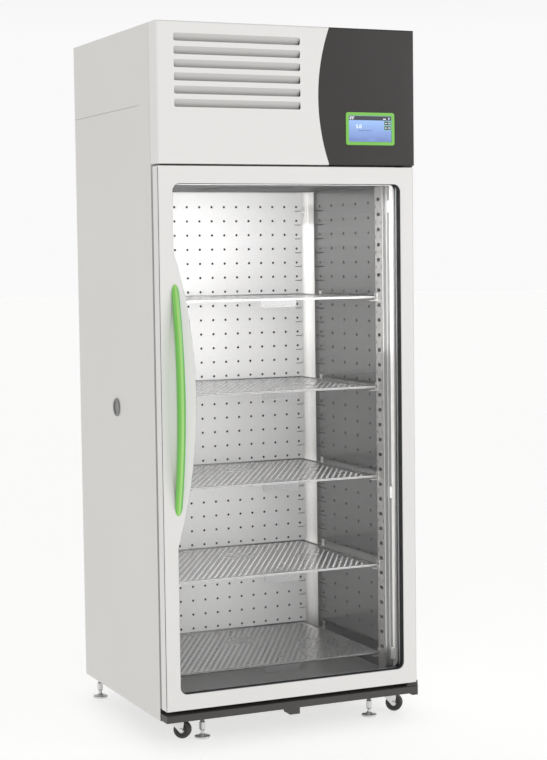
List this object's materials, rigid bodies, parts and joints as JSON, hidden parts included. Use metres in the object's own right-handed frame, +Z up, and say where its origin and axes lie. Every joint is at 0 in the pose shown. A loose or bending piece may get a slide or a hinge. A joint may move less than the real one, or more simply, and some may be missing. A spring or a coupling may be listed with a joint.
{
  "type": "laboratory incubator",
  "caption": "Tall reach-in refrigerated laboratory incubator with a glazed hinged door, wire-perforated shelves, a louvred top fascia with a touchscreen, casters and levelling feet.",
  "frame": {"origin": "on the floor under the centre of the overall box", "axes": "+Z up, -Y to the front with the door, +X to the hinge side"},
  "size_m": [0.806, 0.754, 2.02],
  "materials": {
    "white_paint": "smooth off-white powder coat",
    "grey_paint": "smooth warm light grey powder coat",
    "black_paint": "satin charcoal powder coat",
    "dark_panel": "satin charcoal",
    "green_plastic": "moulded, slightly glossy",
    "stainless": "fine brushed stainless sheet",
    "galvanised": "galvanised sheet",
    "zinc_plate": "bright zinc plate",
    "chrome": "bright plated",
    "aluminium": "plain mill finish",
    "black_rubber": "matt",
    "tyre_rubber": "matt dark grey",
    "black_plastic": "fine texture",
    "grey_plastic": "fine texture",
    "white_plastic": "smooth",
    "red_plastic": "smooth",
    "board": "coated circuit board",
    "screen": "clear cover over a lit display",
    "glass": "clear float glass",
    "foam": "foam block",
    "copper": "drawn tube",
    "cast_black": "black enamel"
  },
  "bodies": {
    "cabinet": {"base_frame": "black_paint", "base_rail": "black_paint", "left_side_panel": "grey_paint", "right_side_panel": "grey_paint", "back_panel": "grey_paint", "upper_casing": "grey_paint", "machine_deck": "galvanised", "throat_frame": "white_paint", "insulation": "foam", "chamber_liner": "stainless", "ceiling_panel": "stainless", "floor_panel": "stainless", "duct_panels": "stainless", "shelf_standards": "stainless", "shelf_1": "stainless", "shelf_2": "stainless", "shelf_3": "stainless", "shelf_4": "stainless", "shelf_5": "stainless", "shelf_clips": "zinc_plate", "temperature_sensor": "zinc_plate", "jamb_clips": "white_plastic", "port_tube": "grey_plastic", "evaporator_coil": "aluminium", "circulation_motor": "black_paint", "compressor": "cast_black", "condenser_coil": "aluminium", "condenser_shroud": "galvanised", "refrigerant_lines": "copper", "control_board": "board", "fascia_panel": "white_paint", "fascia_dark_panel": "dark_panel", "touchscreen_bezel": "green_plastic", "display_screen": "screen", "hinge_brackets": "black_paint", "power_inlet": "black_plastic"},
    "door": {"door_frame": "white_paint", "door_back_frame": "black_plastic", "glazing_seal": "black_rubber", "glass_panes": "glass", "glass_spacer": "aluminium", "door_gasket": "black_rubber", "handle_grip": "green_plastic", "door_hinge_plates": "black_paint"},
    "circulation_fan": {"circulation_fan": "aluminium"},
    "condenser_fan": {"condenser_fan": "black_plastic"},
    "port_plug": {"port_plug": "grey_plastic"},
    "power_switch": {"power_switch": "red_plastic"},
    "caster_front_left": {"caster_fork_front_left": "zinc_plate"},
    "wheel_front_left": {"caster_wheel_front_left": "tyre_rubber"},
    "foot_front_left": {"foot_front_left": "chrome"},
    "caster_front_right": {"caster_fork_front_right": "zinc_plate"},
    "wheel_front_right": {"caster_wheel_front_right": "tyre_rubber"},
    "foot_front_right": {"foot_front_right": "chrome"},
    "caster_rear_left": {"caster_fork_rear_left": "zinc_plate"},
    "wheel_rear_left": {"caster_wheel_rear_left": "tyre_rubber"},
    "foot_rear_left": {"foot_rear_left": "chrome"},
    "caster_rear_right": {"caster_fork_rear_right": "zinc_plate"},
    "wheel_rear_right": {"caster_wheel_rear_right": "tyre_rubber"},
    "foot_rear_right": {"foot_rear_right": "chrome"}
  },
  "joints": [
    {"name": "door_hinge", "type": "hinge", "parent": "cabinet", "child": "door", "pos_m": [0.388, -0.315, 0.85], "axis": [0, 0, 1], "range_deg": [0, 110]},
    {"name": "circulation_fan_spin", "type": "hinge", "parent": "cabinet", "child": "circulation_fan", "pos_m": [0, -0.02, 1.6], "axis": [0, 0, 1], "continuous": true},
    {"name": "condenser_fan_spin", "type": "hinge", "parent": "cabinet", "child": "condenser_fan", "pos_m": [-0.155, -0.19, 1.897], "axis": [0, 1, 0], "continuous": true},
    {"name": "port_plug_slide", "type": "slide", "parent": "cabinet", "child": "port_plug", "axis": [-1, 0, 0], "range_m": [0, 0.08]},
    {"name": "power_switch_rock", "type": "hinge", "parent": "cabinet", "child": "power_switch", "pos_m": [0.302, 0.368, 1.822], "axis": [1, 0, 0], "range_deg": [-10, 10]},
    {"name": "swivel_front_left", "type": "hinge", "parent": "cabinet", "child": "caster_front_left", "pos_m": [-0.3283, -0.206, 0.062], "axis": [0, 0, 1], "continuous": true},
    {"name": "swivel_front_right", "type": "hinge", "parent": "cabinet", "child": "caster_front_right", "pos_m": [0.3577, -0.206, 0.062], "axis": [0, 0, 1], "continuous": true},
    {"name": "swivel_rear_left", "type": "hinge", "parent": "cabinet", "child": "caster_rear_left", "pos_m": [-0.262, 0.315, 0.062], "axis": [0, 0, 1], "continuous": true},
    {"name": "swivel_rear_right", "type": "hinge", "parent": "cabinet", "child": "caster_rear_right", "pos_m": [0.262, 0.315, 0.062], "axis": [0, 0, 1], "continuous": true},
    {"name": "roll_front_left", "type": "hinge", "parent": "caster_front_left", "child": "wheel_front_left", "pos_m": [-0.30702, -0.22262, 0.027], "axis": [0.6157, 0.788, 0], "continuous": true},
    {"name": "roll_front_right", "type": "hinge", "parent": "caster_front_right", "child": "wheel_front_right", "pos_m": [0.37898, -0.22262, 0.027], "axis": [0.6157, 0.788, 0], "continuous": true},
    {"name": "roll_rear_left", "type": "hinge", "parent": "caster_rear_left", "child": "wheel_rear_left", "pos_m": [-0.24072, 0.29838, 0.027], "axis": [0.6157, 0.788, 0], "continuous": true},
    {"name": "roll_rear_right", "type": "hinge", "parent": "caster_rear_right", "child": "wheel_rear_right", "pos_m": [0.28328, 0.29838, 0.027], "axis": [0.6157, 0.788, 0], "continuous": true},
    {"name": "foot_screw_front_left", "type": "slide", "parent": "cabinet", "child": "foot_front_left", "axis": [0, 0, 1], "range_m": [-0.012, 0.012]},
    {"name": "foot_screw_front_right", "type": "slide", "parent": "cabinet", "child": "foot_front_right", "axis": [0, 0, 1], "range_m": [-0.012, 0.012]},
    {"name": "foot_screw_rear_left", "type": "slide", "parent": "cabinet", "child": "foot_rear_left", "axis": [0, 0, 1], "range_m": [-0.012, 0.012]},
    {"name": "foot_screw_rear_right", "type": "slide", "parent": "cabinet", "child": "foot_rear_right", "axis": [0, 0, 1], "range_m": [-0.012, 0.012]}
  ]
}
